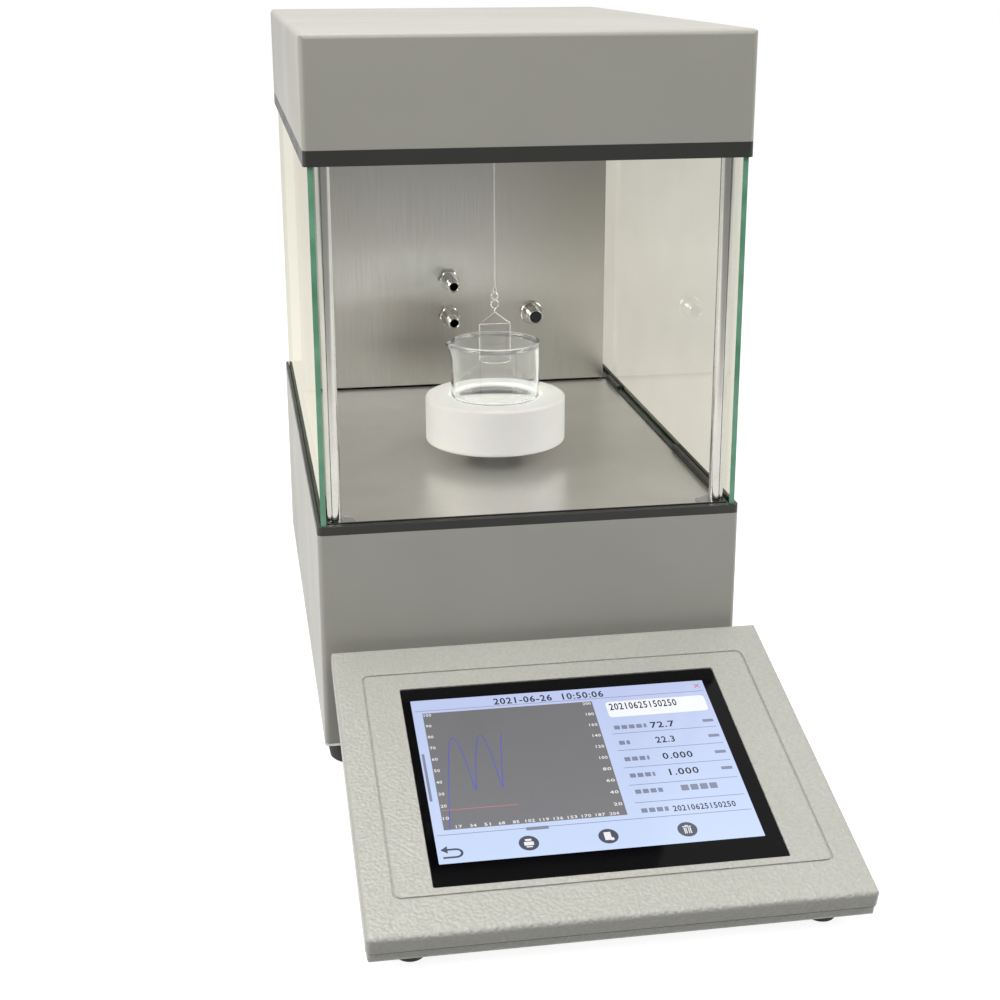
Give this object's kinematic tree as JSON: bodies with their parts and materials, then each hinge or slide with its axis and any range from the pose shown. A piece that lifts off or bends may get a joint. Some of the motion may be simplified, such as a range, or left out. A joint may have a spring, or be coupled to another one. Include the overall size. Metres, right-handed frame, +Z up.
{
  "type": "surface tensiometer",
  "caption": "Bench surface tensiometer: open-front glass-sided weighing chamber on a sheet-metal base, wire ring over a dish on a lift, and a sloping touch console.",
  "frame": {"origin": "middle of the whole object's footprint, on the table", "axes": "+X to the right, +Y to the back, +Z up"},
  "size_m": [0.2496, 0.6272, 0.408],
  "materials": {
    "painted_grey": "fine-textured powder coat",
    "black_trim": "satin black anodised",
    "stainless": "brushed",
    "polished_steel": "polished",
    "plain_steel": "ground",
    "pane_glass": "clear, green at the edges",
    "dish_glass": "clear",
    "white_polymer": "smooth satin",
    "console_grey": "orange-peel texture",
    "touch_black": "glossy",
    "screen": "lit display",
    "rubber_black": "matte",
    "silicone": "translucent",
    "brass": "machined",
    "aluminium": "machined",
    "board_green": "solder mask",
    "black_plastic": "moulded",
    "motor_black": "satin",
    "copper": "wound wire",
    "ferrite": "machined",
    "platinum": "bright wire",
    "zinc_screws": "plated"
  },
  "bodies": {
    "stand": {"base_housing": "painted_grey", "base_plate": "painted_grey", "rubber_feet": "rubber_black", "rear_panel": "painted_grey", "base_trim": "black_trim", "floor_plate": "stainless", "back_wall": "stainless", "rear_housing": "painted_grey", "head_trim": "black_trim", "ceiling_plate": "stainless", "head_housing": "painted_grey", "front_posts": "polished_steel", "rear_posts": "plain_steel", "hose_nozzles": "polished_steel", "probe_socket": "polished_steel", "wall_nuts": "zinc_screws", "inner_hoses": "silicone", "rear_hose_ports": "polished_steel", "motor_standoffs": "plain_steel", "motor_plate": "aluminium", "stepper_motor": "motor_black", "guide_rods": "plain_steel", "lift_top_plate": "aluminium", "weigh_cell_frame": "aluminium", "magnet_pot": "ferrite", "main_board": "board_green", "board_standoffs": "brass", "power_supply": "aluminium", "power_inlet": "black_plastic", "switch_frame": "black_plastic", "data_port": "zinc_screws", "hinge_brackets": "plain_steel", "bracket_screws": "zinc_screws", "panel_screws": "zinc_screws", "base_screws": "zinc_screws"},
    "lift": {"lift_nut": "brass", "lift_carriage": "aluminium", "lift_column": "stainless"},
    "screw": {"shaft_coupling": "aluminium", "lead_screw": "plain_steel"},
    "holder": {"sample_holder": "white_polymer"},
    "dish": {"glass_dish": "dish_glass"},
    "beam": {"weigh_beam": "aluminium", "beam_pivot": "plain_steel", "voice_coil": "copper"},
    "hanger": {"hang_wire": "polished_steel"},
    "ring": {"measuring_ring": "platinum"},
    "left_pane": {"side_glass_left": "pane_glass"},
    "right_pane": {"side_glass_right": "pane_glass"},
    "rocker": {"switch_rocker": "black_plastic"},
    "console": {"console_upper_shell": "console_grey", "console_lower_shell": "console_grey", "touch_glass": "touch_black", "display_module": "screen", "console_board": "board_green", "console_pads": "rubber_black", "console_screws": "zinc_screws", "hinge_pins": "plain_steel"}
  },
  "joints": [
    {"name": "lift_slide", "type": "slide", "parent": "stand", "child": "lift", "axis": [0, 0, 1], "range_m": [-0.005, 0.013]},
    {"name": "screw_turn", "type": "hinge", "parent": "stand", "child": "screw", "pos_m": [-0.00475, 0.02756, 0.083], "axis": [0, 0, 1], "range_deg": [-460, 1180]},
    {"name": "holder_lift_off", "type": "slide", "parent": "lift", "child": "holder", "axis": [0, 0, 1], "range_m": [0, 0.004]},
    {"name": "dish_lift_off", "type": "slide", "parent": "holder", "child": "dish", "axis": [0, 0, 1], "range_m": [0, 0.0025]},
    {"name": "beam_tilt", "type": "hinge", "parent": "stand", "child": "beam", "pos_m": [-0.00475, 0.06956, 0.3875], "axis": [1, 0, 0], "range_deg": [0, 1]},
    {"name": "hanger_swing", "type": "hinge", "parent": "beam", "child": "hanger", "pos_m": [-0.00475, 0.02756, 0.3875], "axis": [0, 1, 0], "range_deg": [-2, 2]},
    {"name": "ring_swing", "type": "hinge", "parent": "hanger", "child": "ring", "pos_m": [-0.00475, 0.02756, 0.23865], "axis": [1, 0, 0], "range_deg": [-6, 6]},
    {"name": "left_pane_slide", "type": "slide", "parent": "stand", "child": "left_pane", "axis": [0, 1, 0], "range_m": [0, 0.25]},
    {"name": "right_pane_slide", "type": "slide", "parent": "stand", "child": "right_pane", "axis": [0, 1, 0], "range_m": [0, 0.25]},
    {"name": "rocker_tip", "type": "hinge", "parent": "stand", "child": "rocker", "pos_m": [-0.05075, 0.29656, 0.05], "axis": [1, 0, 0], "range_deg": [0, 16]},
    {"name": "console_lift", "type": "hinge", "parent": "stand", "child": "console", "pos_m": [0.00225, -0.11305, 0.067], "axis": [-1, 0, 0], "range_deg": [0, 30]}
  ],
  "couplings": [
    {"joint": "screw_turn", "follows": "lift_slide", "rad_per_m": 1570.8}
  ]
}
